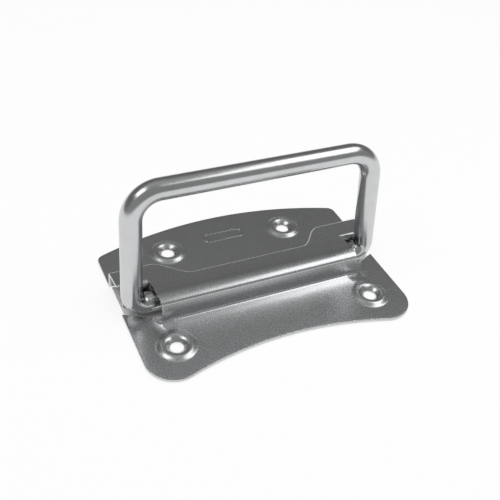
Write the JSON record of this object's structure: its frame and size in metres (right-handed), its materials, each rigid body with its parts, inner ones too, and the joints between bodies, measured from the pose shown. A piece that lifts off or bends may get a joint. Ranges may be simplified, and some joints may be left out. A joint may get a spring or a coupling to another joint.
{
  "type": "chest handle",
  "caption": "Folding chest handle: a bent round-bar bail trapped in the pressed channel of a screw-on zinc-plated steel plate with raised, countersunk screw holes.",
  "frame": {"origin": "middle of the plate's footprint, on the back face that lies on the chest", "axes": "+X along the plate's width and the hinge axis, +Y towards the plate's convex rear edge, +Z out of the chest's wall"},
  "size_m": [0.1001, 0.0736, 0.0508],
  "materials": {
    "zinc_plated_sheet": "bright zinc plating on pressed sheet steel, slightly satin",
    "zinc_plated_bar": "bright zinc plating on round bar, slightly satin"
  },
  "bodies": {
    "plate": {"mounting_plate": "zinc_plated_sheet"},
    "bail": {"bail": "zinc_plated_bar"}
  },
  "joints": [
    {"name": "bail_swing", "type": "hinge", "parent": "plate", "child": "bail", "pos_m": [0, -0.0037, 0.0046], "axis": [1, 0, 0], "range_deg": [0, 82]}
  ]
}
